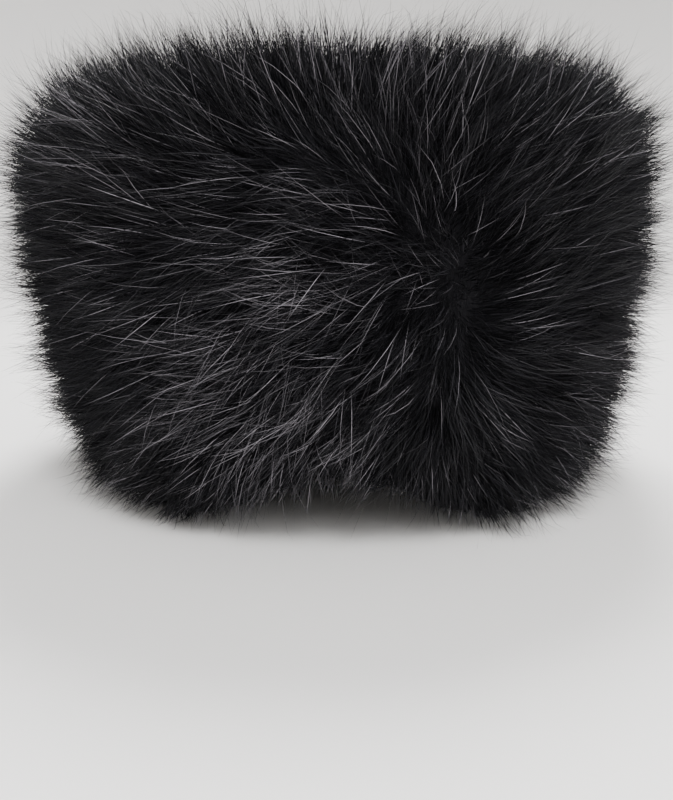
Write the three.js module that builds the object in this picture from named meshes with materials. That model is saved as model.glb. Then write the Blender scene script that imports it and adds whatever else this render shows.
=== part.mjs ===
// A tall fur hat: two pieces of hide sewn into a flared cap, with deep long-haired fur on the outside.
// Millimetres, +Z up, the forehead side faces -Y. The origin is on the surface that the hat rests on, under
// the middle of the hat.

import * as THREE from "three";

// Driving dimensions
const HEAD_WIDTH = 162;
const HEAD_LENGTH = 198;
const HIDE_THICKNESS = 2;
const SEAM_GAP = 0.3;
const FUR_GAP = 0.5;
const CROWN_SEAM_HEIGHT = 151;
const CROWN_DOME = 5;
const TOTAL_HEIGHT = 193;
const RIM_RECESS = 2;
const BROW_RISE = 25;
const BROW_HALF_ANGLE = 42;
const SHOULDER_DROP = 5;
const TURN_STEPS = 48;

// Half of the opening, measured inside the hide at the rim
const RIM = { half_width: HEAD_WIDTH / 2, half_length: HEAD_LENGTH / 2 };

// The inner face of the side hide, from the rim to the crown seam.
// out and along: how much further out than the rim; rise: share of the brow's rise.
const SIDE_HIDE_ROWS = [
  { height: RIM_RECESS, out: 0, along: 0, rise: 1 },
  { height: 38, out: 9, along: 6.5, rise: 0.62 },
  { height: 76, out: 17.5, along: 12.5, rise: 0.25 },
  { height: 114, out: 24.5, along: 17.5, rise: 0.05 },
  { height: CROWN_SEAM_HEIGHT, out: 29, along: 21, rise: 0 },
];

// The outer form of the side fur, from the hem on the table to the split line under the top edge.
// drop: share of the slope of the left shoulder, left as seen from the front.
const SIDE_FUR_ROWS = [
  { height: 0, half_width: 116, half_length: 123, rise: 1, drop: 0 },
  { height: 2.5, half_width: 126, half_length: 133, rise: 0.98, drop: 0 },
  { height: 9, half_width: 134, half_length: 141, rise: 0.92, drop: 0 },
  { height: 20, half_width: 139, half_length: 146, rise: 0.8, drop: 0 },
  { height: 45, half_width: 145, half_length: 152, rise: 0.5, drop: 0 },
  { height: 80, half_width: 150.5, half_length: 157.5, rise: 0.2, drop: 0 },
  { height: 115, half_width: 154.5, half_length: 161.5, rise: 0.04, drop: 0.15 },
  { height: 142, half_width: 156, half_length: 163, rise: 0, drop: 0.4 },
  { height: 162, half_width: 154, half_length: 161, rise: 0, drop: 0.75 },
  { height: 174, half_width: 149, half_length: 156, rise: 0, drop: 1 },
];

// The outer form of the crown fur, from the split line to the middle of the top.
const CROWN_FUR_ROWS = [
  { height: 183.5, half_width: 140, half_length: 147, drop: 0.9 },
  { height: 189, half_width: 127, half_length: 134, drop: 0.6 },
  { height: 192, half_width: 108, half_length: 114, drop: 0.3 },
  { height: TOTAL_HEIGHT, half_width: 70, half_length: 74, drop: 0.05 },
];

function turnAngle(step) {
  return (2 * Math.PI * step) / TURN_STEPS;
}

// How far the lower edge is raised over the forehead, 1 in the middle of the front and 0 past the temples
function browShare(angle) {
  const fromFront = Math.atan2(Math.sin(angle + Math.PI / 2), Math.cos(angle + Math.PI / 2));
  const turn = Math.abs(fromFront) / THREE.MathUtils.degToRad(BROW_HALF_ANGLE);
  return turn < 1 ? 0.5 * (1 + Math.cos(Math.PI * turn)) : 0;
}

// How much of the left shoulder's slope applies: 1 straight to the left, 0 in front, behind and to the right
function leftShare(angle) {
  return Math.max(0, -Math.cos(angle)) ** 2;
}

// One point of a row, at an angle round the hat
function pointOn(row, angle) {
  const raised = (row.rise ?? 0) * BROW_RISE * browShare(angle);
  const dropped = (row.drop ?? 0) * SHOULDER_DROP * leftShare(angle);
  return [
    row.half_width * Math.cos(angle),
    row.half_length * Math.sin(angle),
    row.height + raised - dropped,
  ];
}

function geometryFrom(positions, triangles) {
  const geometry = new THREE.BufferGeometry();
  geometry.setAttribute("position", new THREE.Float32BufferAttribute(positions, 3));
  geometry.setIndex(triangles);
  geometry.computeVertexNormals();
  return geometry;
}

// The two triangles between neighbouring steps of two rows
function bandTriangles(lower, upper, step) {
  const next = (step + 1) % TURN_STEPS;
  return [lower + step, lower + next, upper + next, lower + step, upper + next, upper + step];
}

// A ring: the rows go once round its section, bottom, outside, top, inside
function ringBody(rows) {
  const positions = [];
  const triangles = [];
  rows.forEach((row) => {
    for (let step = 0; step < TURN_STEPS; step += 1) {
      positions.push(...pointOn(row, turnAngle(step)));
    }
  });
  rows.forEach((row, index) => {
    const lower = index * TURN_STEPS;
    const upper = ((index + 1) % rows.length) * TURN_STEPS;
    for (let step = 0; step < TURN_STEPS; step += 1) {
      triangles.push(...bandTriangles(lower, upper, step));
    }
  });
  return geometryFrom(positions, triangles);
}

// A disc: the rows go from near the middle of the underside out and round to near the middle of the top
function discBody(rows, bottomHeight, topHeight) {
  const positions = [0, 0, bottomHeight];
  const triangles = [];
  rows.forEach((row) => {
    for (let step = 0; step < TURN_STEPS; step += 1) {
      positions.push(...pointOn(row, turnAngle(step)));
    }
  });
  const last = 1 + (rows.length - 1) * TURN_STEPS;
  const top = last + TURN_STEPS;
  positions.push(0, 0, topHeight);
  for (let step = 0; step < TURN_STEPS; step += 1) {
    const next = (step + 1) % TURN_STEPS;
    triangles.push(0, 1 + next, 1 + step, top, last + step, last + next);
    for (let index = 0; index < rows.length - 1; index += 1) {
      const lower = 1 + index * TURN_STEPS;
      triangles.push(...bandTriangles(lower, lower + TURN_STEPS, step));
    }
  }
  return geometryFrom(positions, triangles);
}

// A row of the side hide, moved out from its inner face
function hideRow(row, offset) {
  return {
    height: row.height,
    half_width: RIM.half_width + row.out + offset,
    half_length: RIM.half_length + row.along + offset,
    rise: row.rise,
  };
}

function sideHideRows() {
  const inside = SIDE_HIDE_ROWS.map((row) => hideRow(row, 0));
  const outside = SIDE_HIDE_ROWS.map((row) => hideRow(row, HIDE_THICKNESS));
  return [...outside, ...inside.reverse()];
}

const SEAM_ROW = hideRow(SIDE_HIDE_ROWS[SIDE_HIDE_ROWS.length - 1], HIDE_THICKNESS);

// A row of the crown hide: share is its place between the middle, 0, and the seam, 1
function crownRow(share, height) {
  return {
    height: height + CROWN_DOME * (1 - share ** 2),
    half_width: SEAM_ROW.half_width * share,
    half_length: SEAM_ROW.half_length * share,
  };
}

const CROWN_SHARES = [0.4, 0.75, 1];
const CROWN_UNDERSIDE = CROWN_SEAM_HEIGHT + SEAM_GAP;
const CROWN_TOPSIDE = CROWN_UNDERSIDE + HIDE_THICKNESS;

function crownHideRows() {
  const under = CROWN_SHARES.map((share) => crownRow(share, CROWN_UNDERSIDE));
  const over = CROWN_SHARES.map((share) => crownRow(share, CROWN_TOPSIDE));
  return [...under, ...over.reverse()];
}

// The side fur starts at the hide: its inner wall stands off the hide by the fur gap, from the hem up past
// the edge of the crown hide, and its top is the split face that the crown fur lies on.
function sideFurRows() {
  const inner = SIDE_HIDE_ROWS.map((row) => hideRow(row, HIDE_THICKNESS + FUR_GAP));
  const hem = { ...inner[0], height: 0 };
  const throat = {
    ...inner[inner.length - 1],
    height: CROWN_TOPSIDE - SEAM_GAP,
    half_width: SEAM_ROW.half_width + FUR_GAP,
    half_length: SEAM_ROW.half_length + FUR_GAP,
  };
  return [hem, ...SIDE_FUR_ROWS, throat, ...inner.slice(1).reverse()];
}

// The crown fur lies on the crown hide and on the split face
function crownFurRows() {
  const under = CROWN_SHARES.map((share) => crownRow(share, CROWN_TOPSIDE + SEAM_GAP));
  const split = SIDE_FUR_ROWS[SIDE_FUR_ROWS.length - 1];
  const lip = {
    ...split,
    height: split.height + 2 * FUR_GAP,
    half_width: split.half_width - SEAM_GAP,
    half_length: split.half_length - SEAM_GAP,
  };
  return [...under, lip, ...CROWN_FUR_ROWS];
}

function hideMaterial() {
  return new THREE.MeshStandardMaterial({ color: 0x3a2f29, roughness: 0.9, metalness: 0 });
}

function furMaterial() {
  return new THREE.MeshStandardMaterial({ color: 0x0c0c10, roughness: 0.55, metalness: 0 });
}

function piece(name, geometry, material) {
  const mesh = new THREE.Mesh(geometry, material);
  mesh.name = name;
  return mesh;
}

const hat = new THREE.Group();
hat.add(piece("side_hide", ringBody(sideHideRows()), hideMaterial()));
hat.add(
  piece(
    "crown_hide",
    discBody(crownHideRows(), CROWN_UNDERSIDE + CROWN_DOME, CROWN_TOPSIDE + CROWN_DOME),
    hideMaterial(),
  ),
);
hat.add(piece("side_fur", ringBody(sideFurRows()), furMaterial()));
hat.add(
  piece(
    "crown_fur",
    discBody(crownFurRows(), CROWN_TOPSIDE + SEAM_GAP + CROWN_DOME, TOTAL_HEIGHT),
    furMaterial(),
  ),
);

export default hat;
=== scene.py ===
# %% [markdown]
# A tall hat of long black fur
#
# The hat is a cap of hide with the fur still on it: a flared band and an oval crown sewn in at its
# top. Fur like this has two coats. A short, matt underfur makes the dark mass, and long, shiny
# guard hairs lie over it and stand out round the edge. This script makes the coats on top of the
# packed model, which holds the hide and the outer form of the fur at their real size.

# %% The packed model
import math
from collections import namedtuple

import bmesh
import bpy
import numpy as np
from mathutils import Matrix, Vector
from mathutils.bvhtree import BVHTree


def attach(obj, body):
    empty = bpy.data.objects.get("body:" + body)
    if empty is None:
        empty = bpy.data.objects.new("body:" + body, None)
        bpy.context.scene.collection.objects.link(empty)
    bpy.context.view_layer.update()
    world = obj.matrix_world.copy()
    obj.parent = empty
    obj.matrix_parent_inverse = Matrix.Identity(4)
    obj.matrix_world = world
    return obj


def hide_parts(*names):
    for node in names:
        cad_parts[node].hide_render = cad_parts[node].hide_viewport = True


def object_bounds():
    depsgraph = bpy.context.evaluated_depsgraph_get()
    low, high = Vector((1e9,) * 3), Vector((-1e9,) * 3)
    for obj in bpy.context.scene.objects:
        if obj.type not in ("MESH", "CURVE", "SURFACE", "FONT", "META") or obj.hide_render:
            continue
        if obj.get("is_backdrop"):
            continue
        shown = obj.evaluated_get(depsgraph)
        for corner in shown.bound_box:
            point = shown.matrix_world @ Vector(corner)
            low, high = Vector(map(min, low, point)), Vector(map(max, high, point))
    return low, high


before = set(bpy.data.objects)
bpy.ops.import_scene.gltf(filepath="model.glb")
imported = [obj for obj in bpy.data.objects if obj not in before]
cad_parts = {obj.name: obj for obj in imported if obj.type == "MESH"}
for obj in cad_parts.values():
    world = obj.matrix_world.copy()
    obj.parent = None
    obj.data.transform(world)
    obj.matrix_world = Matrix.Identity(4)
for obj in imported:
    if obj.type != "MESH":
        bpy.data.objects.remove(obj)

MM = 0.001
cad_lowest, cad_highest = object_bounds()
print("nodes:", sorted(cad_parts))
print("box in mm:", [round(side / MM, 1) for side in cad_highest - cad_lowest])

# %% [markdown]
# The camera
#
# The camera comes first, because everything is judged through it. It stands in front of the hat, a
# little above its middle, and looks slightly down. The photo's height and its focal length are both
# known in pixels, and they are to each other as the sensor's height is to the lens.

# %% The camera
PHOTO_HEIGHT_PX = 800
FOCAL_LENGTH_PX = 830
SENSOR_HEIGHT_MM = 24
CAMERA_DISTANCE = 447 * MM
CAMERA_RISE = math.radians(4.5)
CAMERA_PITCH = math.radians(12.4)
CAMERA_ASIDE = -1 * MM


def place_camera():
    """Stands the camera on a circle round the middle of the hat and tips it down."""
    lens = bpy.data.cameras.new("camera")
    lens.sensor_fit = "VERTICAL"
    lens.sensor_height = SENSOR_HEIGHT_MM
    lens.lens = SENSOR_HEIGHT_MM * FOCAL_LENGTH_PX / PHOTO_HEIGHT_PX
    lens.clip_start = 10 * MM
    camera = bpy.data.objects.new("camera", lens)
    bpy.context.scene.collection.objects.link(camera)
    middle_height = (cad_lowest.z + cad_highest.z) / 2
    camera.location = (
        CAMERA_ASIDE,
        -CAMERA_DISTANCE * math.cos(CAMERA_RISE),
        middle_height + CAMERA_DISTANCE * math.sin(CAMERA_RISE),
    )
    camera.rotation_euler = (math.pi / 2 - CAMERA_PITCH, 0, 0)
    bpy.context.scene.camera = camera
    return camera


camera = place_camera()
print("camera at", [round(place, 4) for place in camera.location])
print("lens", round(camera.data.lens, 1), "mm")

# %% [markdown]
# Writing nodes as sums
#
# Node trees are easier to read as sums than as lists of links. A Wire is one output of a node, and
# Python's own operators on wires add the Math or Vector Math node that does the sum.

# %% Wires
class Wire:
    """One output of a node, which sums can be done on."""

    def __init__(self, board, socket):
        self.board = board
        self.socket = socket

    def is_vector(self):
        return self.socket.type in ("VECTOR", "RGBA")

    def __add__(self, other):
        return self.board.sum("ADD", self, other)

    def __radd__(self, other):
        return self.board.sum("ADD", other, self)

    def __sub__(self, other):
        return self.board.sum("SUBTRACT", self, other)

    def __rsub__(self, other):
        return self.board.sum("SUBTRACT", other, self)

    def __mul__(self, other):
        return self.board.sum("MULTIPLY", self, other)

    def __rmul__(self, other):
        return self.board.sum("MULTIPLY", other, self)

    def __truediv__(self, other):
        return self.board.sum("DIVIDE", self, other)

    def __rtruediv__(self, other):
        return self.board.sum("DIVIDE", other, self)

    def __pow__(self, power):
        return self.board.sum("POWER", self, power)

    def at_least(self, other):
        return self.board.sum("MAXIMUM", self, other)

    def at_most(self, other):
        return self.board.sum("MINIMUM", self, other)

    def below(self, other):
        return self.board.sum("LESS_THAN", self, other)

    def whole(self):
        return self.board.sum("FLOOR", self)

    def sine(self):
        return self.board.sum("SINE", self)

    def cosine(self):
        return self.board.sum("COSINE", self)

    def cross(self, other):
        return self.board.sum("CROSS_PRODUCT", self, other)

    def dot(self, other):
        return self.board.sum("DOT_PRODUCT", self, other, out="Value")

    def length(self):
        return self.board.sum("LENGTH", self, out="Value")

    def unit(self):
        return self.board.sum("NORMALIZE", self)

    def part(self, axis):
        return self.board.node("ShaderNodeSeparateXYZ", {}, {"Vector": self}, axis)

    def turned(self, axis, angle):
        sockets = {"Vector": self, "Axis": axis, "Angle": angle}
        return self.board.node("ShaderNodeVectorRotate", {"rotation_type": "AXIS_ANGLE"}, sockets)


print(Wire.__name__ + ":", Wire.__doc__)

# %% [markdown]
# A Board is the tree that wires are on. It has one method for sums and one for every other node, so
# both coats and every finish below are written the same way.

# %% Boards
class Board:
    """A node tree, with one method for sums and one for every other node."""

    def __init__(self, tree):
        self.tree = tree

    def find(self, sockets, name):
        """The socket of that name or number. Some nodes have twins of a socket, of which one is on."""
        if isinstance(name, int):
            return sockets[name]
        return next(socket for socket in sockets if socket.name == name and socket.enabled)

    def join(self, socket, value):
        """Links a wire to the socket, or sets the socket to a plain value."""
        if isinstance(value, Wire):
            self.tree.links.new(value.socket, socket)
        else:
            socket.default_value = value

    def node(self, kind, settings, sockets, out=0):
        """Adds a node. Settings go first, as some change its sockets. Several outs give a wire each."""
        made = self.tree.nodes.new(kind)
        for name, value in settings.items():
            if name == "captures":
                for kept, data_type in value.items():
                    made.capture_items.new(data_type, kept)
            else:
                setattr(made, name, value)
        for name, value in sockets.items():
            self.join(self.find(made.inputs, name), value)
        if isinstance(out, tuple):
            return [Wire(self, self.find(made.outputs, name)) for name in out]
        return Wire(self, self.find(made.outputs, out)) if made.outputs else made

    def sum(self, operation, *terms, out=0):
        """Adds the node for one sum, in vectors where any term is one."""
        in_vectors = any(isinstance(term, Wire) and term.is_vector() for term in terms)
        kind = "ShaderNodeVectorMath" if in_vectors else "ShaderNodeMath"
        sockets = {}
        for index, term in enumerate(terms):
            plain_number = in_vectors and isinstance(term, (int, float))
            sockets[index] = (term,) * 3 if plain_number else term
        return self.node(kind, {"operation": operation}, sockets, out)

    def mix(self, factor, first, second):
        """A colour between two, the first at factor 0 and the second at factor 1."""
        colours = {"Factor": factor}
        for name, colour in (("A", first), ("B", second)):
            colours[name] = colour if isinstance(colour, Wire) else (*colour, 1)
        return self.node("ShaderNodeMix", {"data_type": "RGBA"}, colours, "Result")

    def open_inputs(self, inputs):
        """Gives the tree its named inputs, each of a kind and value, and returns their wires."""
        for name, (kind, value) in inputs.items():
            socket = self.tree.interface.new_socket(name, in_out="INPUT", socket_type=kind)
            if value is not None:
                socket.default_value = value
        group = self.tree.nodes.new("NodeGroupInput")
        return {name: Wire(self, self.find(group.outputs, name)) for name in inputs}

    def close(self, geometry, material):
        """Ends a tree that makes geometry."""
        solid = self.node("GeometryNodeRealizeInstances", {}, {"Geometry": geometry})
        finished = self.node("GeometryNodeSetMaterial", {}, {"Geometry": solid, "Material": material})
        self.tree.interface.new_socket("Geometry", in_out="OUTPUT", socket_type="NodeSocketGeometry")
        self.join(self.tree.nodes.new("NodeGroupOutput").inputs[0], finished)


print(Board.__name__ + ":", Board.__doc__)

# %% [markdown]
# The finishes
#
# A material is a small tree as well. `finish` makes one with a Principled shader, and each finish
# below says only what changes over its surface. What is the same all over, such as the gloss of a
# hair, is set on the shader's own socket.

# %% Starting a finish
def finish(name, constants):
    """A new material, its board and its shader, with the shader's constant sockets set."""
    material = bpy.data.materials.new(name)
    material.use_nodes = True
    board = Board(material.node_tree)
    shader = material.node_tree.nodes["Principled BSDF"]
    for socket, value in constants.items():
        shader.inputs[socket].default_value = value
    return material, board, shader


def noise(board, place, size, detail):
    """A soft random pattern with blotches of about that size, from 0 to 1."""
    sockets = {"Vector": place, "Scale": 1 / size, "Detail": detail}
    return board.node("ShaderNodeTexNoise", {"noise_dimensions": "3D"}, sockets)


def object_place(board):
    """The place of a point in the piece's own coordinates."""
    return board.node("ShaderNodeTexCoord", {}, {}, "Object")


print(len(bpy.data.materials), "materials before the first finish")

# %% [markdown]
# Hide
#
# The inner face of a dyed pelt is suede: greyish brown, matt, blotched where the dye went through,
# and with a fine nap. It could be one brown, but then the inside of the hat would look like card.
# Two sizes of noise do the blotches and the nap, in Object coordinates, so that they run on over
# the seams.

# %% The hide's finish
HIDE_DARK = (0.085, 0.062, 0.05)
HIDE_LIGHT = (0.21, 0.165, 0.135)
BLOTCH_SIZE = 28 * MM
BLOTCH_CONTRAST = 1.6
BLOTCH_HEIGHT = 0.6
NAP_SIZE = 1.1 * MM
NAP_CONTRAST = 0.5


def hide_finish():
    material, board, shader = finish("suede", {"Roughness": 0.9, "Specular IOR Level": 0.25})
    place = object_place(board)
    blotches = noise(board, place, BLOTCH_SIZE, detail=4.0)
    nap = noise(board, place, NAP_SIZE, detail=3.0)
    tone = (blotches - 0.5) * BLOTCH_CONTRAST + 0.5 + (nap - 0.5) * NAP_CONTRAST
    board.join(shader.inputs["Base Color"], board.mix(tone, HIDE_DARK, HIDE_LIGHT))
    height = nap + blotches * BLOTCH_HEIGHT
    sockets = {"Height": height, "Strength": 0.45, "Distance": 0.4 * MM}
    board.join(shader.inputs["Normal"], board.node("ShaderNodeBump", {}, sockets))
    return material


hide_material = hide_finish()
print("made the finish", hide_material.name)

# %% [markdown]
# Hair
#
# No two hairs have quite the same colour, and a hair changes along its length. Painting each one
# would need a picture. Instead every hair has its place on a dye card: a square cut into small
# swatches, each holding one shade from root to tip. Both the columns and the rows go from darker to
# lighter, and the last rows are those of the pale hairs. A hair is given a column and a row when it
# grows, so the colour below is worked out from the place on the card alone. A dark hair lightens
# towards its tip by a random amount, and that lightening is painted sheen. The pale hairs are
# partly real pale hairs and partly painted glints, the highlights that glossy black hair catches.
# They are dark at the root, so they show over their outer part only.

# %% The dye card and the colours of the hairs
CARD_MAP = "OFBake"
CARD_COLUMNS = 16
DARK_ROWS = 6
PALE_ROWS = 4
CARD_ROWS = DARK_ROWS + PALE_ROWS
SWATCH_EDGE = 0.1
SWATCH_WIDTH = 0.2

# Where along a pale hair its colour starts, how fast it comes in, how much of it the tip loses,
# and the least that a column leaves of it. That colour is partly real pale hair and partly painted
# glint.
PALE_FROM = 0.25
PALE_RISE = 4
PALE_TIP_LOSS = 0.6
PALE_LEAST = 0.45

HAIR_BLACK = (0.0024, 0.0024, 0.003)
# The most that a dark hair lightens towards its tip: painted sheen
HAIR_GREY = (0.019, 0.0184, 0.0216)
# The pale hairs' colour: partly real pale hair and partly painted glint
HAIR_SILVER_AND_GLINT = (0.25, 0.235, 0.259)


def card_place(board):
    """The swatch's column, from 0 to 1, its row, and the place along the hair, from 0 to 1."""
    card = board.node("ShaderNodeUVMap", {"uv_map": CARD_MAP}, {})
    column = (card.part("X") * CARD_COLUMNS).whole() / (CARD_COLUMNS - 1)
    rows = card.part("Y") * CARD_ROWS
    row = rows.whole()
    along = (rows - row - SWATCH_EDGE) / (1 - 2 * SWATCH_EDGE)
    return column, row, along


def hair_finish(name, gloss, darkest, lightest, palest):
    """Dark rows of the card run from darkest to lightest, and pale rows up to palest.

    A dark row lightens towards the tip, which is painted sheen. The pale rows are partly real pale
    hair and partly painted glint.
    """
    material, board, shader = finish(name, gloss)
    column, row, along = card_place(board)
    dark_share = (row / (DARK_ROWS - 1)).at_most(1)
    pale_share = ((row - (DARK_ROWS - 1)) / PALE_ROWS).at_least(0)
    # Dark hairs lighten towards the tip by a random amount, and that lightening is painted sheen
    to_tip = along * (2 - along)
    dark = board.mix(dark_share * column * to_tip, darkest, lightest)
    # Pale hairs take the palest colour over their outer part. They are partly real and partly painted
    # glint
    rising = ((along - PALE_FROM) * PALE_RISE).at_least(0).at_most(1)
    body = rising * (1 - along**4 * PALE_TIP_LOSS)
    strength = PALE_LEAST + column * (1 - PALE_LEAST)
    colour = board.mix(pale_share * body * strength, dark, palest)
    board.join(shader.inputs["Base Color"], colour)
    return material


guard_material = hair_finish(
    "guard_hair",
    {"Roughness": 0.45, "Specular IOR Level": 0.13},
    HAIR_BLACK,
    HAIR_GREY,
    HAIR_SILVER_AND_GLINT,
)
# The underfur's pale rows only reach the grey: a faint lightening of its outer part, partly real paler
# hair and partly painted sheen
underfur_material = hair_finish(
    "underfur",
    {"Roughness": 0.75, "Specular IOR Level": 0.05},
    HAIR_BLACK,
    HAIR_GREY,
    HAIR_GREY,
)
print("made the finishes", guard_material.name, "and", underfur_material.name)

# %% [markdown]
# The dense base of the fur
#
# Between the hairs one looks down on more hair, too dense to tell apart. It is a dark surface with
# a fine streak, and it only has to stay darker than the hairs over it.

# %% The base's finish
BASE_DARK = (0.002, 0.002, 0.0025)
BASE_LIGHT = (0.012, 0.0115, 0.014)
STREAK_SIZE = 1.2 * MM
STREAK_SQUEEZE = (1, 1, 0.25)


def base_finish():
    material, board, shader = finish("fur_base", {"Roughness": 0.85, "Specular IOR Level": 0.1})
    place = object_place(board)
    streaks = noise(board, place * STREAK_SQUEEZE, STREAK_SIZE, detail=3.0)
    board.join(shader.inputs["Base Color"], board.mix(streaks, BASE_DARK, BASE_LIGHT))
    sockets = {"Height": streaks, "Strength": 0.8, "Distance": 1.0 * MM}
    board.join(shader.inputs["Normal"], board.node("ShaderNodeBump", {}, sockets))
    return material


base_material = base_finish()
print("made the finish", base_material.name)

# %% [markdown]
# Working on copies of the packed pieces
#
# The packed pieces are facets of loose triangles. Each Blender piece starts as a copy whose
# triangles are merged into quads, which subdivide well. The packed ones stay as they are.

# %% Merged copies
MERGE_DISTANCE = 0.002 * MM
FLAT_ENOUGH = math.radians(40)


def merged_copy(node):
    """A copy of a packed piece as a bmesh, with its triangles merged into quads."""
    shape = bmesh.new()
    shape.from_mesh(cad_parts[node].data)
    bmesh.ops.remove_doubles(shape, verts=shape.verts, dist=MERGE_DISTANCE)
    bmesh.ops.join_triangles(
        shape,
        faces=shape.faces,
        angle_face_threshold=FLAT_ENOUGH,
        angle_shape_threshold=math.pi,
    )
    return shape


def piece_from(name, shape, material):
    """A new object from a bmesh."""
    mesh = bpy.data.meshes.new(name)
    shape.to_mesh(mesh)
    shape.free()
    mesh.materials.clear()
    mesh.materials.append(material)
    piece = bpy.data.objects.new(name, mesh)
    bpy.context.scene.collection.objects.link(piece)
    return piece


def settle(piece):
    """Turns what the piece's modifiers make into its plain mesh."""
    bpy.context.view_layer.update()
    shown = piece.evaluated_get(bpy.context.evaluated_depsgraph_get())
    mesh = bpy.data.meshes.new_from_object(shown)
    piece.modifiers.clear()
    piece.data = mesh
    mesh.name = piece.name
    return piece


def subdivide(piece, levels):
    """Smooths the piece and keeps the result as its plain mesh."""
    smoother = piece.modifiers.new("smooth", "SUBSURF")
    smoother.levels = levels
    smoother.render_levels = levels
    settle(piece)
    piece.data.polygons.foreach_set("use_smooth", [True] * len(piece.data.polygons))


def triangles(piece):
    piece.data.calc_loop_triangles()
    return len(piece.data.loop_triangles)


def belongs(piece, slot, *replaced):
    """Hangs the piece on the root body and hides the packed pieces that it stands for. slot is not
    used.
    """
    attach(piece, "root")
    if replaced:
        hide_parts(*replaced)


sample = merged_copy("side_fur")
print("side_fur has", len(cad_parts["side_fur"].data.polygons), "triangles")
print("its merged copy has", len(sample.faces), "faces")
sample.free()

# %% [markdown]
# The hide cap
#
# The band and the crown are 2 mm of hide. Cut hide has a slightly rounded edge, so the edges get a
# small bevel before the subdivision, which also stops the subdivision from pulling the rim in.

# %% The two pieces of hide
SHARP_EDGE = math.radians(50)
HIDE_EDGE_ROUNDING = 0.5 * MM


def make_hide(node):
    """A smooth piece of hide with rounded edges, in place of the packed one."""
    shape = merged_copy(node)
    bmesh.ops.bevel(
        shape,
        geom=[edge for edge in shape.edges if edge.calc_face_angle(0) > SHARP_EDGE],
        offset=HIDE_EDGE_ROUNDING,
        segments=2,
        profile=0.5,
        affect="EDGES",
    )
    piece = piece_from(node + "_smooth", shape, hide_material)
    subdivide(piece, levels=1)
    belongs(piece, "hide", node)
    print(piece.name, triangles(piece), "triangles")


for node in ("side_hide", "crown_hide"):
    make_hide(node)

# %% [markdown]
# The base of the fur
#
# The base is the packed outer form of the fur, drawn in towards the hide until it is as deep as one
# can see into the coat. Every corner moves along the line to the nearest hide, so the base stays a
# closed shell that sits on the hide all over. Two search trees say where the hide and the outer
# form are. The faces where side and crown lie on each other are inside the coat, so they don't
# count as its outer form.

# %% The outside of the fur
SPLIT_FACE_TILT = 0.75
LEAST_OUTWARD = -0.3


def outside_side(centre, normal):
    """True on the side's outer face and hem, not on its inner wall or the face under the crown."""
    outward = Vector((centre.x, centre.y, 0)).normalized()
    return normal.z < SPLIT_FACE_TILT and normal.dot(outward) > LEAST_OUTWARD


def outside_crown(centre, normal):
    """True on the crown's top, and false on its underside."""
    return normal.z > 0


def any_face(centre, normal):
    return True


def tree_of(wanted):
    """A search tree over faces of packed nodes, each with the test that its faces have to pass."""
    corners = []
    faces = []
    for node, is_wanted in wanted.items():
        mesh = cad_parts[node].data
        start = len(corners)
        corners.extend(corner.co.copy() for corner in mesh.vertices)
        for face in mesh.polygons:
            if is_wanted(face.center, face.normal):
                faces.append([start + index for index in face.vertices])
    print("a tree of", len(faces), "faces of", " and ".join(wanted))
    return BVHTree.FromPolygons(corners, faces)


hide_tree = tree_of({"side_hide": any_face, "crown_hide": any_face})
fur_tree = tree_of({"side_fur": outside_side, "crown_fur": outside_crown})

# %% [markdown]
# The base keeps 62% of the coat's depth. Its crown also has its lip brought down on to the side's
# edge, because a slit there would show as a dark line between the hairs. Sharp edges are creased,
# so that the subdivision rounds the coat but leaves the seams between its pieces where they are.

# %% Drawing the fur in to its base
BASE_SHARE = 0.62
LIP_DROP = 0.55 * MM


def lip_corners(shape):
    """The corners of the crown where its outer faces meet its underside."""
    shape.normal_update()
    corners = []
    for corner in shape.verts:
        sides = {outside_crown(face.calc_center_median(), face.normal) for face in corner.link_faces}
        if len(sides) == 2:
            corners.append(corner)
    return corners


def make_base(name, node):
    """The base of the fur, in place of the packed outer form."""
    shape = merged_copy(node)
    lip = lip_corners(shape) if node == "crown_fur" else []
    creases = shape.edges.layers.float.new("crease_edge")
    for edge in shape.edges:
        edge[creases] = 1.0 if edge.calc_face_angle(0) > SHARP_EDGE else 0.0
    for corner in shape.verts:
        on_hide = hide_tree.find_nearest(corner.co)[0]
        corner.co = on_hide.lerp(corner.co, BASE_SHARE)
    for corner in lip:
        corner.co.z -= LIP_DROP
    print(name, "has", len(lip), "corners lowered on to the side's edge")
    piece = piece_from(name, shape, base_material)
    subdivide(piece, levels=2)
    belongs(piece, "fur", node)
    print(piece.name, triangles(piece), "triangles")
    return piece


side_base = make_base("side_fur_base", "side_fur")
crown_base = make_base("crown_fur_base", "crown_fur")

# %% [markdown]
# Combing
#
# Hair doesn't stand straight out. On the front of this hat it sweeps from a parting right of the
# middle, to the left and down, and up over the top edge. Real fur gets that lie from a comb, and so
# does this: some strokes, each with its place, the way it goes, how flat it presses the hair and
# how many pale hairs lie there. Those pale hairs are partly real and partly painted glints. Each
# point of the base follows the strokes near it. Where strokes disagree they cancel out, and the
# hair stands up, as it does along a real parting.

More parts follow.
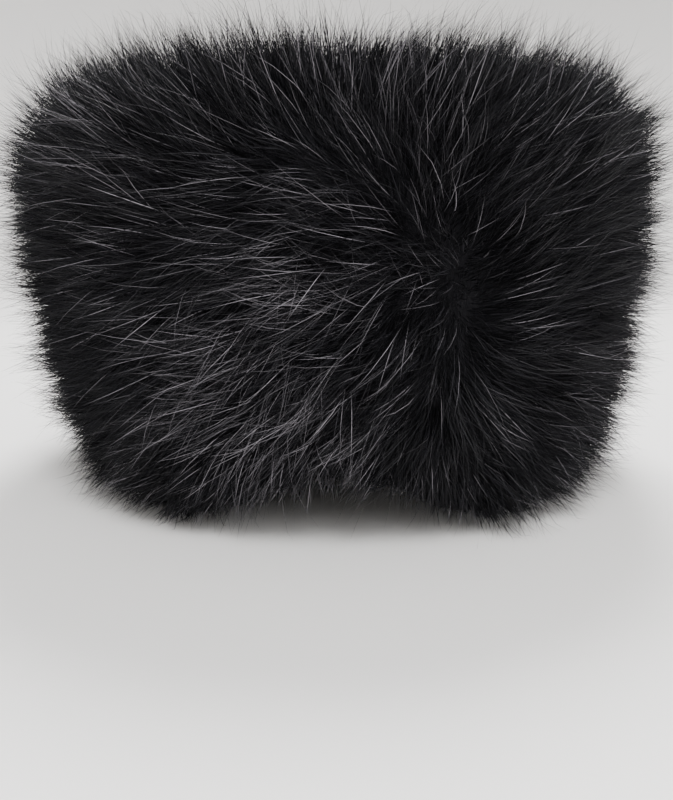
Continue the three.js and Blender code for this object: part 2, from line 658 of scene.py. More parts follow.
# %% The strokes on the front
# around: degrees from the middle of the front, to the right as one faces it
# height: mm above the surface that the hat rests on
# way: degrees, 0 to the right and 90 up
# lie: from 0, standing, to 1, flat
# pale: share of pale hairs, partly real pale hairs and partly painted glints
# long: how long the hair is there, as a share of what just reaches the outer form
Stroke = namedtuple("Stroke", "around height way lie pale long")
TOP_EDGE_STROKES = (
    Stroke(-62, 181, 150, 0.45, 0.05, 1.5),
    Stroke(-43, 181, 136, 0.50, 0.17, 2.1),
    Stroke(-28, 181, 126, 0.50, 0.22, 2.3),
    Stroke(-13, 181, 112, 0.40, 0.25, 1.8),
    Stroke(1, 182, 94, 0.46, 0.34, 2.1),
    Stroke(15, 181, 78, 0.40, 0.22, 1.6),
    Stroke(31, 181, 64, 0.42, 0.18, 1.4),
    Stroke(48, 181, 50, 0.45, 0.07, 1.55),
    Stroke(-52, 146, 168, 0.55, 0.06, 1.45),
    Stroke(-38, 166, 138, 0.80, 0.20, 2.3),
    Stroke(-25, 168, 134, 0.78, 0.26, 2.2),
    Stroke(-12, 166, 118, 0.74, 0.30, 1.8),
    Stroke(4, 166, 84, 0.74, 0.42, 1.8),
    Stroke(12, 166, 74, 0.72, 0.22, 1.5),
    Stroke(21, 167, 60, 0.70, 0.12, 1.5),
    Stroke(35, 168, 54, 0.66, 0.13, 1.4),
    Stroke(50, 168, 42, 0.60, 0.06, 1.45),
)
LEFT_STROKES = (
    Stroke(-65, 125, 180, 0.55, 0.02, 1.35),
    Stroke(-57, 96, 180, 0.42, 0.00, 1.35),
    Stroke(-41, 125, 160, 0.65, 0.08, 1.2),
    Stroke(-30, 135, 148, 0.72, 0.11, 1.2),
    Stroke(-20, 142, 150, 0.75, 0.12, 1.2),
    Stroke(-28, 112, 178, 0.78, 0.07, 1.1),
    Stroke(-41, 96, 183, 0.66, 0.02, 1.1),
    Stroke(-34, 73, 193, 0.70, 0.00, 1.1),
    Stroke(-47, 65, 188, 0.50, 0.00, 1.1),
    Stroke(-38, 42, 200, 0.68, 0.07, 0.9),
    Stroke(-36, 31, 225, 0.66, 0.16, 0.9),
    Stroke(-28, 26, 240, 0.72, 0.22, 0.9),
)
MIDDLE_STROKES = (
    Stroke(8, 143, 150, 0.80, 0.16, 1.1),
    Stroke(0, 145, 172, 0.86, 0.14, 1.0),
    Stroke(-7, 141, 196, 0.86, 0.16, 1.1),
    Stroke(-4, 128, 216, 0.88, 0.15, 1.0),
    Stroke(-16, 124, 205, 0.82, 0.01, 1.1),
    Stroke(11, 126, 142, 0.80, 0.10, 1.1),
    Stroke(11, 112, 188, 0.95, 0.40, 1.2),
    Stroke(3, 113, 196, 0.97, 0.52, 1.2),
    Stroke(-5, 110, 202, 0.95, 0.38, 1.1),
    Stroke(-13, 108, 190, 0.90, 0.24, 1.05),
    Stroke(-21, 104, 194, 0.82, 0.12, 1.0),
    Stroke(8, 92, 200, 0.92, 0.20, 1.1),
    Stroke(-1, 92, 206, 0.97, 0.54, 1.2),
    Stroke(-11, 86, 212, 0.96, 0.58, 1.1),
    Stroke(-20, 82, 200, 0.86, 0.17, 1.0),
    Stroke(8, 70, 212, 0.90, 0.18, 1.1),
    Stroke(-1, 68, 205, 0.95, 0.34, 1.2),
    Stroke(-9, 62, 216, 0.97, 0.58, 1.2),
    Stroke(-17, 57, 218, 0.93, 0.42, 1.0),
    Stroke(-27, 52, 212, 0.76, 0.06, 1.1),
    Stroke(-13, 44, 202, 0.92, 0.44, 0.8),
    Stroke(-20, 30, 228, 0.80, 0.26, 0.85),
    Stroke(-6, 49, 196, 0.95, 0.40, 0.7),
    Stroke(0, 48, 330, 0.85, 0.36, 0.7),
    Stroke(8, 46, 216, 0.92, 0.36, 0.7),
    Stroke(9, 38, 205, 0.92, 0.26, 0.65),
)
RIGHT_STROKES = (
    Stroke(19, 150, 46, 0.80, 0.22, 1.2),
    Stroke(26, 142, 68, 0.75, 0.16, 1.2),
    Stroke(34, 138, 72, 0.70, 0.16, 1.2),
    Stroke(46, 140, 28, 0.60, 0.03, 1.1),
    Stroke(18, 128, 76, 0.80, 0.06, 1.1),
    Stroke(28, 122, 42, 0.75, 0.06, 1.1),
    Stroke(15, 104, 206, 0.92, 0.18, 1.1),
    Stroke(24, 106, 46, 0.85, 0.05, 1.1),
    Stroke(32, 98, 34, 0.80, 0.06, 1.1),
    Stroke(40, 96, 22, 0.72, 0.04, 1.1),
    Stroke(50, 98, 6, 0.60, 0.08, 1.25),
    Stroke(15, 90, 218, 0.90, 0.08, 1.1),
    Stroke(25, 90, 30, 0.85, 0.03, 1.1),
    Stroke(34, 80, 6, 0.80, 0.04, 1.1),
    Stroke(15, 76, 230, 0.88, 0.09, 1.1),
    Stroke(25, 76, 2, 0.85, 0.03, 1.1),
    Stroke(15, 60, 226, 0.86, 0.12, 1.0),
    Stroke(24, 64, -12, 0.80, 0.05, 1.1),
    Stroke(14, 44, 242, 0.85, 0.16, 0.75),
    Stroke(25, 51, -48, 0.80, 0.10, 1.1),
    Stroke(20, 38, -74, 0.78, 0.10, 0.85),
    Stroke(34, 54, -30, 0.75, 0.16, 1.1),
    Stroke(43, 37, -25, 0.60, 0.14, 1.1),
    Stroke(31, 22, -52, 0.62, 0.11, 1.0),
    Stroke(58, 73, -8, 0.55, 0.08, 1.2),
    Stroke(75, 113, 0, 0.55, 0.05, 1.0),
    Stroke(75, 150, 15, 0.50, 0.04, 0.8),
)
FRONT_STROKES = TOP_EDGE_STROKES + LEFT_STROKES + MIDDLE_STROKES + RIGHT_STROKES
print(len(FRONT_STROKES), "strokes on the front")

# %% [markdown]
# The photo shows only the front. Round the sides and the back the strokes follow a rule instead:
# away from the front on both sides, and more and more downwards towards the back. The last row of
# strokes is past the top edge, on the crown, so that the hair runs on over the edge and doesn't
# part along it.

# %% The strokes round the back
BACK_TURNS = range(90, 271, 30)
BACK_HEIGHTS = (20, 55, 95, 135, 166, 181)
TOP_EDGE = 150
UPSWEEP_FROM = 120
UPSWEEP_OVER = 60
BACK_FALL = 0.9
BACK_LIE = 0.6
BACK_LIE_MORE = 0.3
# Share of pale hairs round the back, partly painted glints that give the dark back some sheen
BACK_PALE_AND_GLINT = 0.12
BACK_LONG = 1.2


def back_strokes():
    """Strokes from both sides round the back. fall is 0 in front and 1 straight behind."""
    strokes = []
    for around in BACK_TURNS:
        turn = math.radians(around)
        fall = 0.5 * (1 - math.cos(turn))
        for height in BACK_HEIGHTS:
            upsweep = (1 - fall) * max(0, (height - UPSWEEP_FROM) / UPSWEEP_OVER)
            way = math.degrees(math.atan2(upsweep - BACK_FALL * fall, math.sin(turn)))
            lie = BACK_LIE + BACK_LIE_MORE * fall * (height > TOP_EDGE)
            strokes.append(Stroke(around, height, way, lie, BACK_PALE_AND_GLINT, BACK_LONG))
    return strokes


BACK_STROKES = back_strokes()
print(len(BACK_STROKES), "strokes round the back")

# %% [markdown]
# On the crown the fur turns round a whorl a little behind the middle, and runs out straighter near
# the edge. Its strokes follow a rule too, in rings. A stroke then becomes a guide: a place on the
# outer form, and the way in space in which the hair is pushed there.

# %% The strokes on the crown
WHORL = Vector((8 * MM, 18 * MM, 0))
WHORL_TWIST = math.radians(60)
CROWN_SHARES = (0.25, 0.5, 0.74)
CROWN_TURNS = 14
CROWN_LIE = 0.8
CROWN_LIE_LESS = 0.4
# Share of pale hairs on the crown, partly real pale hairs and partly painted glints
CROWN_PALE_AND_GLINT = 0.1
CROWN_LONG = 1.2
CROWN_LONG_MORE = 0.4
FAR_OFF = 300 * MM

Guide = namedtuple("Guide", "place push lie pale long")


def side_guide(stroke):
    """A stroke as a place on the fur's outer form and the way it pushes the hair there."""
    turn = math.radians(stroke.around)
    outward = Vector((math.sin(turn), -math.cos(turn), 0))
    rightward = Vector((math.cos(turn), math.sin(turn), 0))
    start = outward * FAR_OFF
    start.z = stroke.height * MM
    place, normal, _, _ = fur_tree.ray_cast(start, -outward)
    upward = normal.cross(rightward).normalized()
    way = math.radians(stroke.way)
    push = rightward * math.cos(way) + upward * math.sin(way)
    return Guide(place, push, stroke.lie, stroke.pale, stroke.long)


def crown_guides():
    """Guides in rings. share is a ring's place between the middle, 0, and the edge, 1."""
    guides = []
    for share in CROWN_SHARES:
        lie = CROWN_LIE - CROWN_LIE_LESS * share
        long = CROWN_LONG + CROWN_LONG_MORE * share
        for step in range(CROWN_TURNS):
            turn = math.tau * step / CROWN_TURNS
            across = cad_highest.x * share * math.cos(turn)
            along = cad_highest.y * share * math.sin(turn)
            place = fur_tree.ray_cast(Vector((across, along, FAR_OFF)), Vector((0, 0, -1)))[0]
            push = place - WHORL
            push.z = 0
            push = Matrix.Rotation(WHORL_TWIST * (1 - share), 3, "Z") @ push.normalized()
            guides.append(Guide(place, push, lie, CROWN_PALE_AND_GLINT, long))
    return guides


guides = [side_guide(stroke) for stroke in (*FRONT_STROKES, *BACK_STROKES)] + crown_guides()
print(len(guides), "comb strokes")

# %% [markdown]
# The strokes are spread over the base with a soft brush, and kept on it as attributes, which the
# hairs read where they grow. `comb` is the way and the lie in one arrow. `reach` is how far the
# outer form is from the base, straight out, times what the strokes say of the length there. `pale`
# is the share of pale hairs, which are partly real pale hairs and partly painted glints.

# %% Combing the base
BRUSH = 13 * MM
PARTING_DEPTH = 0.3
LEAST_REACH = 1.5 * MM
MOST_REACH = 24 * MM
LEAST_LIE = 0.02
TINY = 1e-12


def keep(mesh, name, kind, field, values):
    """Keeps one value for each corner of the mesh as an attribute."""
    attribute = mesh.attributes.new(name, kind, "POINT")
    attribute.data.foreach_set(field, np.asarray(values, np.float32).ravel())


def outer_normals(mesh, is_outside):
    """The corners' normals, from outer faces alone, so that hair on an edge stands as beside it."""
    normals = np.array([normal.vector for normal in mesh.vertex_normals])
    sums = np.zeros_like(normals)
    for face in mesh.polygons:
        if is_outside(face.center, face.normal):
            sums[list(face.vertices)] += np.array(face.normal) * face.area
    sizes = np.linalg.norm(sums, axis=1)[:, None]
    return np.where(sizes > 0, sums / np.maximum(sizes, TINY), normals)


def comb(base, is_outside):
    """Spreads the guides over a base. Where their pushes cancel out, the hair stands up."""
    mesh = base.data
    places = np.array([corner.co for corner in mesh.vertices])
    normals = outer_normals(mesh, is_outside)
    guide_places, guide_pushes, lies, pales, lengths = (np.array(column) for column in zip(*guides))
    away = ((places[:, None] - guide_places[None]) ** 2).sum(2)
    weights = np.exp((away.min(1)[:, None] - away) / (2 * BRUSH**2))
    weights /= weights.sum(1)[:, None]
    pushes = weights @ guide_pushes
    agreement = np.linalg.norm(pushes, axis=1)
    pushes -= normals * (pushes * normals).sum(1)[:, None]
    pushes /= np.maximum(np.linalg.norm(pushes, axis=1), TINY)[:, None]
    lies = (weights @ lies) * agreement**PARTING_DEPTH
    reaches = np.empty(len(places))
    for index, (place, normal) in enumerate(zip(places, normals)):
        straight = fur_tree.ray_cast(Vector(place), Vector(normal))[3]
        reaches[index] = fur_tree.find_nearest(Vector(place))[3] if straight is None else straight
    reaches = np.clip(reaches, LEAST_REACH, MOST_REACH) * (weights @ lengths)
    keep(mesh, "comb", "FLOAT_VECTOR", "vector", pushes * np.maximum(lies, LEAST_LIE)[:, None])
    keep(mesh, "reach", "FLOAT", "value", reaches)
    keep(mesh, "pale", "FLOAT", "value", weights @ pales)
    print(base.name, "reach in mm:", [round(end / MM, 1) for end in (reaches.min(), reaches.max())])


comb(side_base, outside_side)
comb(crown_base, outside_crown)

# %% [markdown]
# Growing the hairs
#
# Blender has hair curves of its own, but a finished piece here is a plain mesh. So each hair is a
# ribbon of a few flat faces, narrow enough to look round, and one Geometry Nodes tree grows them
# all:
#
# 1. Points are scattered on a patch of the base, and a straight line stands on each.
# 2. Each line is bent into an arc that leans with the comb. The arc's length is worked out so that
#    its tip comes up to the outer form, however far it leans.
# 3. Tips are pulled together, in tufts and in finer wisps, by the cells of a Voronoi pattern.
# 4. The line is given a ribbon's width, tapering to the tip, and its place on the dye card.
#
# The tree's inputs are the sizes of a coat. Leans, bends and turns are in radians. A pull is the
# share of the way to the middle of the tuft or wisp that a tip is moved.

# %% The inputs of the tree
FUR_INPUTS = {
    "Skin": ("NodeSocketGeometry", None),
    "Hairs per square metre": ("NodeSocketFloat", 100000.0),
    "Points along a hair": ("NodeSocketInt", 5),
    "Width": ("NodeSocketFloat", 0.4 * MM),
    "Lean standing": ("NodeSocketFloat", 0.5),
    "Lean flat": ("NodeSocketFloat", 1.4),
    "Lean scatter": ("NodeSocketFloat", 0.15),
    "Bend": ("NodeSocketFloat", 0.6),
    "Reach share": ("NodeSocketFloat", 1.0),
    "Reach scatter": ("NodeSocketFloat", 0.3),
    "Turn scatter": ("NodeSocketFloat", 0.2),
    "Sideways curve": ("NodeSocketFloat", 0.3),
    "Longest": ("NodeSocketFloat", 45 * MM),
    "Tuft size": ("NodeSocketFloat", 16 * MM),
    "Tuft pull": ("NodeSocketFloat", 0.4),
    "Tuft turn": ("NodeSocketFloat", 0.3),
    "Tuft height": ("NodeSocketFloat", 0.3),
    "Wisp size": ("NodeSocketFloat", 5 * MM),
    "Wisp pull": ("NodeSocketFloat", 0.3),
    # A factor on the share of pale hairs, which are partly real pale hairs and partly painted glints
    "Pale and glint share": ("NodeSocketFloat", 1.0),
    "Lowest corner": ("NodeSocketVector", (-1.0, -1.0, 0.0)),
    "Highest corner": ("NodeSocketVector", (1.0, 1.0, 1.0)),
    "Seed": ("NodeSocketInt", 1),
    "Material": ("NodeSocketMaterial", None),
}
hair_tree = bpy.data.node_groups.new("grow_hairs", "GeometryNodeTree")
fur_board = Board(hair_tree)
given = fur_board.open_inputs(FUR_INPUTS)
print("the tree has", len(given), "inputs")

# %% [markdown]
# The first part of the tree scatters the points. What a point knows is captured there, before its
# line is bent: its root, the way up, the middle of its tuft and of its wisp, and the numbers that
# it drew.

# %% Scattering the lines
def chance(board, seed):
    """Three random numbers from 0 to 1 for each hair, as a vector."""
    sockets = {"Min": (0, 0, 0), "Max": (1, 1, 1), "Seed": seed}
    return board.node("FunctionNodeRandomValue", {"data_type": "FLOAT_VECTOR"}, sockets, "Value")


def cells(board, place, size):
    """The middle of the Voronoi cell that a place is in, and three numbers that its cell drew."""
    settings = {"voronoi_dimensions": "3D"}
    sockets = {"Vector": place, "Scale": 1 / size, "Randomness": 1.0}
    return board.node("ShaderNodeTexVoronoi", settings, sockets, ("Position", "Color"))


def scattered_lines(board, given):
    """Straight lines on scattered points, and a wire for each thing that a line remembers."""
    density = given["Hairs per square metre"]
    sockets = {"Mesh": given["Skin"], "Density": density, "Seed": given["Seed"]}
    outs = ("Points", "Normal")
    points, upward = board.node("GeometryNodeDistributePointsOnFaces", {}, sockets, outs)
    place = board.node("GeometryNodeInputPosition", {}, {})
    tuft, tuft_luck = cells(board, place, given["Tuft size"])
    wisp, _ = cells(board, place, given["Wisp size"])
    remembered = {
        "root": place,
        "upward": upward,
        "tuft": tuft,
        "tuft luck": tuft_luck,
        "wisp": wisp,
        "luck": chance(board, 1),
        "more luck": chance(board, 2),
        "card luck": chance(board, 3),
    }
    settings = {"captures": {name: "VECTOR" for name in remembered}}
    sockets = {"Geometry": points, **remembered}
    outs = ("Geometry", *remembered)
    points, *kept = board.node("GeometryNodeCaptureAttribute", settings, sockets, outs)
    line = board.node("GeometryNodeCurvePrimitiveLine", {}, {"Start": (0, 0, 0), "End": (0, 0, 1)})
    sockets = {"Curve": line, "Count": given["Points along a hair"]}
    line = board.node("GeometryNodeResampleCurve", {}, sockets)
    lines = board.node("GeometryNodeInstanceOnPoints", {}, {"Points": points, "Instance": line})
    lines = board.node("GeometryNodeRealizeInstances", {}, {"Geometry": lines})
    return lines, dict(zip(remembered, kept))


def along_each(board, curves, name):
    """Captures how far along its curve each point is, from 0 to 1, before the curve changes."""
    factor = board.node("GeometryNodeSplineParameter", {}, {}, "Factor")
    settings = {"captures": {name: "FLOAT"}}
    sockets = {"Geometry": curves, name: factor}
    return board.node("GeometryNodeCaptureAttribute", settings, sockets, ("Geometry", name))


lines, hair = scattered_lines(fur_board, given)
lines, along = along_each(fur_board, lines, "along")
print("a line remembers its", ", ".join(hair))

# %% [markdown]
# The second part bends the lines. A hair leans more and more towards its tip, so it is an arc: its
# lean goes evenly from the first to the last, and the sums for its rise and its way forward are
# those of a circle. Most hairs turn only a little aside from the comb and a few turn a lot, which
# is why the turn goes partly with the third power of the number that the hair drew.

# %% Bending the lines
CALM_TURN = 0.25
TUFT_FLATNESS = 0.25
LEAST_LAST_LEAN = 0.6
MOST_LEAN = 1.5
LEAST_RISE = 0.2
LONGEST_SHARE = 0.8
LONGEST_SCATTER = 0.4
PULL_POWER = 1.4
LIFT_SCATTER_MM = 1.5


def kept_value(board, name, kind):
    """An attribute that the comb left on the base."""
    settings = {"data_type": kind}
    return board.node("GeometryNodeInputNamedAttribute", settings, {"Name": name}, "Attribute")


def forward_of(given, hair, push, along):
    """The way in which a hair leans: that of the comb, turned aside by the luck of hair and tuft."""
    spare = hair["luck"] - 0.5
    side_luck = spare.part("X") * 2
    wild = side_luck * side_luck * side_luck * (1 - CALM_TURN)
    turn = (side_luck * CALM_TURN + wild) * given["Turn scatter"]
    turn = turn + (hair["tuft luck"] - 0.5).part("X") * given["Tuft turn"] * 2
    turn = turn + spare.part("Z") * given["Sideways curve"] * along * 2
    return push.unit().turned(hair["upward"], turn)


def leans_of(given, hair, push):
    """How far a hair leans over at its root and at its tip."""
    flatness = push.length() + (hair["tuft luck"] - 0.5).part("Y") * TUFT_FLATNESS
    span = given["Lean flat"] - given["Lean standing"]
    scatter = (hair["luck"] - 0.5).part("Y") * given["Lean scatter"] * 2
    last = given["Lean standing"] + span * flatness + scatter
    last = last.at_least(given["Bend"] * LEAST_LAST_LEAN).at_most(MOST_LEAN)
    return last - given["Bend"], last


def length_of(board, given, hair, rise):
    """How long a hair is, from how much it rises for its length."""
    more = hair["more luck"] - 0.5
    tuft_height = (hair["tuft luck"] - 0.5).part("Z") * given["Tuft height"]
    tall = 1 + more.part("X") * given["Reach scatter"] * 2 + tuft_height
    reach = kept_value(board, "reach", "FLOAT") * given["Reach share"] * tall
    longest = given["Longest"] * (LONGEST_SHARE + more.part("Y") * LONGEST_SCATTER)
    return (reach / rise.at_least(LEAST_RISE)).at_most(longest)


def bent_place(board, given, hair, along):
    """Where a point of a hair goes: on its arc, and pulled towards its tuft and its wisp."""
    upward = hair["upward"]
    bend = given["Bend"]
    push = kept_value(board, "comb", "FLOAT_VECTOR")
    first, last = leans_of(given, hair, push)
    length = length_of(board, given, hair, (last.sine() - first.sine()) / bend)
    lean = first + bend * along
    out = (lean.sine() - first.sine()) / bend * length
    over = (first.cosine() - lean.cosine()) / bend * length
    bent = upward * out + forward_of(given, hair, push, along) * over
    for cell in ("Tuft", "Wisp"):
        towards = hair[cell.lower()] - hair["root"]
        towards = towards - upward * towards.dot(upward)
        bent = bent + towards * (given[cell + " pull"] * along**PULL_POWER)
    lift = hair["luck"].part("X") * LIFT_SCATTER_MM * MM
    lowest = given["Lowest corner"] + board.node("ShaderNodeCombineXYZ", {}, {"Z": lift})
    place = (hair["root"] + bent).at_least(lowest)
    return place.at_most(given["Highest corner"])


place = bent_place(fur_board, given, hair, along)
sockets = {"Geometry": lines, "Position": place}
bent_lines = fur_board.node("GeometryNodeSetPosition", {}, sockets)
print("a hair leans at most", round(math.degrees(MOST_LEAN)), "degrees over")

# %% [markdown]
# The third part makes ribbons of the lines and gives them their colour. A ribbon is turned by
# chance about its own line, because ribbons that all faced the same way would shine together like a
# sheet. It swells a little from the root and then tapers to the tip.

# %% Giving the lines their width and colour
RIBBON_TILT = 2.2
ROOT_WIDTH = 0.55
SWELLING = 1.6
TIP_WIDTH = 0.04
WIDTH_SCATTER = 0.6


def ribbons(board, given, lines, hair, along):
    """Gives each line its width. The second wire is the place across the ribbon, from 0 to 1."""
    tangent = board.node("GeometryNodeInputTangent", {}, {})
    tilt = (hair["more luck"].part("Z") - 0.5) * RIBBON_TILT
    sideways = tangent.cross(hair["upward"]).unit().turned(tangent, tilt)
    sockets = {"Curve": lines, "Normal": sideways}
    lines = board.node("GeometryNodeSetCurveNormal", {"mode": "FREE"}, sockets)
    sockets = {"Start": (-0.5, 0, 0), "End": (0.5, 0, 0)}
    section = board.node("GeometryNodeCurvePrimitiveLine", {}, sockets)
    section, across = along_each(board, section, "across")
    taper = (ROOT_WIDTH + along * SWELLING).at_most(1) * (1 + TIP_WIDTH - along**3)
    luck = 1 - WIDTH_SCATTER / 2 + hair["card luck"].part("X") * WIDTH_SCATTER
    sockets = {"Curve": lines, "Profile Curve": section, "Scale": given["Width"] * taper * luck}
    return board.node("GeometryNodeCurveToMesh", {}, sockets), across


def on_card(board, given, mesh, hair, along, across):
    """Stores each hair's place on the dye card, in a pale row for the share of pale hairs there.

    The pale rows are partly real pale hair and partly painted glint.
    """
    luck = hair["card luck"]
    column = (luck.part("X") * CARD_COLUMNS).whole().at_most(CARD_COLUMNS - 1)
    # Pale rows are partly real pale hair and partly painted glint
    is_pale = luck.part("Y").below(kept_value(board, "pale", "FLOAT") * given["Pale and glint share"])
    dark_row = (luck.part("Z") * DARK_ROWS).whole().at_most(DARK_ROWS - 1)
    pale_row = (luck.part("Z") * PALE_ROWS).whole().at_most(PALE_ROWS - 1) + DARK_ROWS
    row = dark_row + is_pale * (pale_row - dark_row)
    sockets = {
        "X": (column + 0.5 + (across - 0.5) * SWATCH_WIDTH) / CARD_COLUMNS,
        "Y": (row + SWATCH_EDGE + along * (1 - 2 * SWATCH_EDGE)) / CARD_ROWS,
    }
    card = board.node("ShaderNodeCombineXYZ", {}, sockets)
    settings = {"data_type": "FLOAT2", "domain": "CORNER"}
    sockets = {"Geometry": mesh, "Name": CARD_MAP, "Value": card}
    return board.node("GeometryNodeStoreNamedAttribute", settings, sockets)


plain_ribbons, across = ribbons(fur_board, given, bent_lines, hair, along)
dyed_ribbons = on_card(fur_board, given, plain_ribbons, hair, along, across)
print("the dye card has", CARD_COLUMNS * CARD_ROWS, "swatches")

# %% [markdown]
# Last, the ribbons are shaded smooth, and the tree ends in Realize Instances and Set Material, so
# that what it makes can be kept as a plain mesh with its finish.

# %% Closing the tree
sockets = {"Geometry": dyed_ribbons, "Shade Smooth": True}
smooth_ribbons = fur_board.node("GeometryNodeSetShadeSmooth", {}, sockets)
fur_board.close(smooth_ribbons, given["Material"])
print("the tree has", len(hair_tree.nodes), "nodes")

# %% [markdown]
# The two coats
#
# Underfur is short, dense and matt. Guard hairs are longer, sparser and glossy, and the pale ones
# among them, partly real pale hairs and partly painted glints, are what one sees first. Both may
# stand a little outside the packed outer form, as fur does: by 3% of each side of its box and 10
# mm, shared between the two ends of that side. The hat rests on its lower edge, so all of the room
# in height is at the top.

# %% How far the tips may stand out
STAND_OUT_SHARE = 0.03
STAND_OUT = 10 * MM
SAFE = 0.5 * MM
allowed = (cad_highest - cad_lowest) * STAND_OUT_SHARE + Vector((STAND_OUT,) * 3)
room = allowed / 2 - Vector((SAFE,) * 3)
LOWEST_TIP = (cad_lowest.x - room.x, cad_lowest.y - room.y, SAFE)
HIGHEST_TIP = (cad_highest.x + room.x, cad_highest.y + room.y, cad_highest.z + 2 * room.z)
print("tips in mm from", [round(side / MM, 1) for side in LOWEST_TIP])
print("to", [round(side / MM, 1) for side in HIGHEST_TIP])

# %% [markdown]
# The sizes of a coat are what the tree's inputs are set to. Inputs that a coat doesn't name keep
# the tree's own value.

# %% The sizes of the two coats
UNDERFUR = {
    "Hairs per square metre": 430000.0,
    "Points along a hair": 3,
    "Width": 0.4 * MM,
    "Lean standing": 0.3,
    "Lean flat": 1.25,
    "Reach share": 0.88,
    "Reach scatter": 0.25,
    "Turn scatter": 0.7,
    "Longest": 36 * MM,
    "Tuft size": 15 * MM,
    "Tuft pull": 0.55,
    "Tuft height": 0.5,
    "Wisp size": 4.5 * MM,
    "Wisp pull": 0.4,
    "Pale and glint share": 0.4,
    "Seed": 11,
    "Material": underfur_material,
}
GUARD_HAIR = {
    "Hairs per square metre": 310000.0,
    "Points along a hair": 5,
    "Width": 0.19 * MM,
    "Lean standing": 0.35,
    "Lean flat": 1.35,
    "Reach share": 1.1,
    "Reach scatter": 0.35,
    "Turn scatter": 0.8,
    "Longest": 48 * MM,
    "Tuft size": 15 * MM,
    "Tuft pull": 0.55,
    "Tuft height": 0.8,
    "Tuft turn": 0.5,
    "Wisp size": 6 * MM,
    "Wisp pull": 0.35,
    "Pale and glint share": 1.25,
    "Seed": 23,
    "Material": guard_material,
}
print(len(UNDERFUR), "sizes for the underfur and", len(GUARD_HAIR), "for the guard hair")

# %% [markdown]
# A mesh of all the hairs would be too heavy to handle, so each coat is grown patch by patch. A
# patch is the outer part of the base between two directions. The Voronoi cells lie in space and not
# on the patch, so tufts run on from one patch to the next.

# %% Growing patch by patch
SIDE_PATCHES = {"front": 0, "right": 90, "back": 180, "left": 270}
CROWN_PATCHES = {"front": 0, "back": 180}


def patch_of(base, heading, half_angle, is_outside):
    """The outer faces of a base within half_angle of a heading, in degrees round from the front."""
    shape = bmesh.new()
    shape.from_mesh(base.data)
    middle = Vector((math.sin(math.radians(heading)), -math.cos(math.radians(heading))))
    unwanted = []
    for face in shape.faces:
        centre = face.calc_center_median()
        turn = abs(centre.to_2d().angle_signed(middle, 0))
        if turn > math.radians(half_angle) or not is_outside(centre, face.normal):
            unwanted.append(face)
    bmesh.ops.delete(shape, geom=unwanted, context="FACES")
    mesh = bpy.data.meshes.new(base.name + "_patch")
    shape.to_mesh(mesh)
    shape.free()
    return mesh


def grow(name, skin, coat):
    """Runs the tree on a patch and keeps what it makes as a plain mesh."""
    piece = bpy.data.objects.new(name, skin)
    bpy.context.scene.collection.objects.link(piece)
    modifier = piece.modifiers.new("grow", "NODES")
    modifier.node_group = hair_tree
    sizes = {**coat, "Lowest corner": LOWEST_TIP, "Highest corner": HIGHEST_TIP}
    for socket in hair_tree.interface.items_tree:
        if socket.name in sizes and socket.in_out == "INPUT":
            modifier[socket.identifier] = sizes[socket.name]
    settle(piece)
    mesh = piece.data
    for attribute in ("comb", "reach", "pale"):
        mesh.attributes.remove(mesh.attributes[attribute])
    mesh.uv_layers[CARD_MAP].active = True
    belongs(piece, "fur")
    print(piece.name, triangles(piece), "triangles")
    return piece


hairs = []
for base, patches, half_angle, is_outside, start in (
    (side_base, SIDE_PATCHES, 45, outside_side, "side"),
    (crown_base, CROWN_PATCHES, 90, outside_crown, "crown"),
):
    for side, heading in patches.items():
        patch = patch_of(base, heading, half_angle, is_outside)
        hairs.append(grow(f"{start}_underfur_{side}", patch.copy(), UNDERFUR))
        hairs.append(grow(f"{start}_guard_hair_{side}", patch, GUARD_HAIR))
print("hairs add", sum(triangles(piece) for piece in hairs), "triangles")

# %% [markdown]
# The studio
#
# The floor is a pale dish: flat under the hat, then curving up into a wall all round, so that no
# edge or horizon shows from any side.

# %% The floor
FLOOR_COLOUR = (0.74, 0.73, 0.72)
DISH_FLAT = 1200 * MM
DISH_CURVE = 1000 * MM
WALL_TOP = 3000 * MM
DISH_STEPS = 24
DISH_TURNS = 96


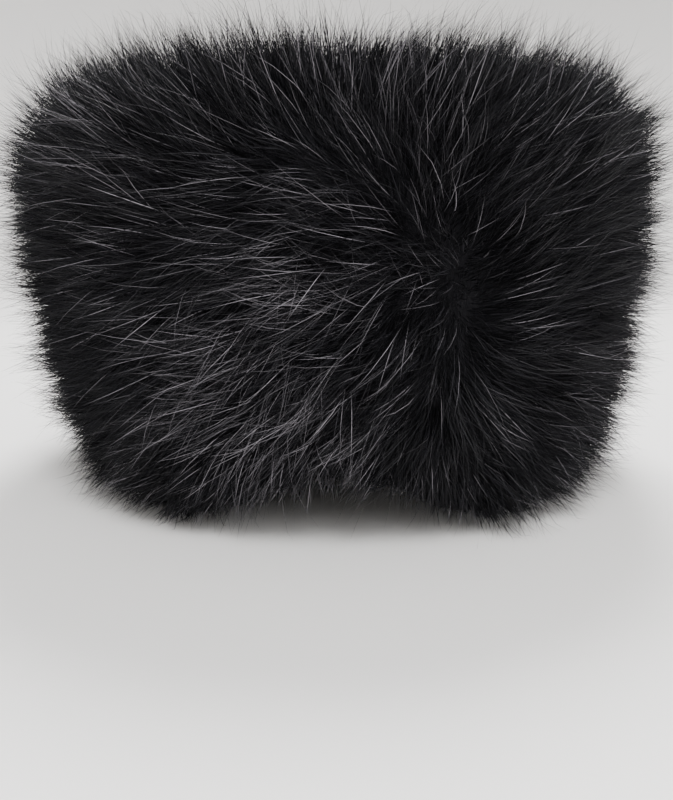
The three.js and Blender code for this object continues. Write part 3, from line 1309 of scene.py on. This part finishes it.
def make_floor():
    """A dish of rings round one middle point. The last ring is the top of the wall."""
    material, _, shader = finish("floor", {"Roughness": 0.85, "Specular IOR Level": 0.2})
    shader.inputs["Base Color"].default_value = (*FLOOR_COLOUR, 1)
    shape = bmesh.new()
    middle = shape.verts.new((0, 0, 0))
    below = None
    for step in range(DISH_STEPS + 2):
        bend = math.pi / 2 * min(1, step / DISH_STEPS)
        radius = DISH_FLAT + DISH_CURVE * math.sin(bend)
        height = DISH_CURVE * (1 - math.cos(bend)) if step <= DISH_STEPS else WALL_TOP
        ring = []
        for turn in range(DISH_TURNS):
            angle = math.tau * turn / DISH_TURNS
            place = (radius * math.cos(angle), radius * math.sin(angle), height)
            ring.append(shape.verts.new(place))
        for turn in range(DISH_TURNS):
            after = (turn + 1) % DISH_TURNS
            if below is None:
                shape.faces.new((middle, ring[turn], ring[after]))
            else:
                shape.faces.new((below[turn], ring[turn], ring[after], below[after]))
        below = ring
    floor = piece_from("floor", shape, material)
    floor.data.polygons.foreach_set("use_smooth", [True] * len(floor.data.polygons))
    floor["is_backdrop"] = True
    return floor


floor = make_floor()
print("floor", triangles(floor), "triangles")

# %% [markdown]
# Black fur shows its form only where light rakes over it. A soft light high in front does that, a
# larger and weaker one from the right fills in, and one from behind and above catches the tips
# round the edge.

# %% The lights
Lamp = namedtuple("Lamp", "name place size watts")
LAMPS = (
    Lamp("key", (0.02, -0.95, 1.3), 0.5, 26),
    Lamp("fill", (0.95, -1.2, 0.95), 0.8, 10),
    Lamp("back", (0.1, 0.6, 1.45), 0.6, 56),
)
AIM = Vector((0, 0, 0.1))
SKY_STRENGTH = 0.9


def hang_lamp(lamp):
    """Hangs a round lamp that looks at the middle of the hat."""
    light = bpy.data.lights.new(lamp.name, "AREA")
    light.shape = "DISK"
    light.size = lamp.size
    light.energy = lamp.watts
    hung = bpy.data.objects.new(lamp.name, light)
    bpy.context.scene.collection.objects.link(hung)
    hung.location = lamp.place
    hung.rotation_euler = (AIM - Vector(lamp.place)).to_track_quat("-Z", "Y").to_euler()
    return hung


def fill_sky(strength):
    """Even white light from all round."""
    world = bpy.data.worlds.new("sky")
    world.use_nodes = True
    background = world.node_tree.nodes["Background"]
    background.inputs["Color"].default_value = (1, 1, 1, 1)
    background.inputs["Strength"].default_value = strength
    bpy.context.scene.world = world


lamps = [hang_lamp(lamp) for lamp in LAMPS]
fill_sky(SKY_STRENGTH)
print(len(lamps), "lamps")

# %% [markdown]
# The size of the result
#
# The hairs may stand out from the packed box by 3% of each side and 10 mm. Both boxes are printed.

# %% The two boxes
shown_lowest, shown_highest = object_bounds()
boxes = {
    "cad": [list(cad_lowest), list(cad_highest)],
    "visual": [list(shown_lowest), list(shown_highest)],
}
for name, box in boxes.items():
    print(name, "box in mm:", [[round(side / MM, 1) for side in end] for end in box])
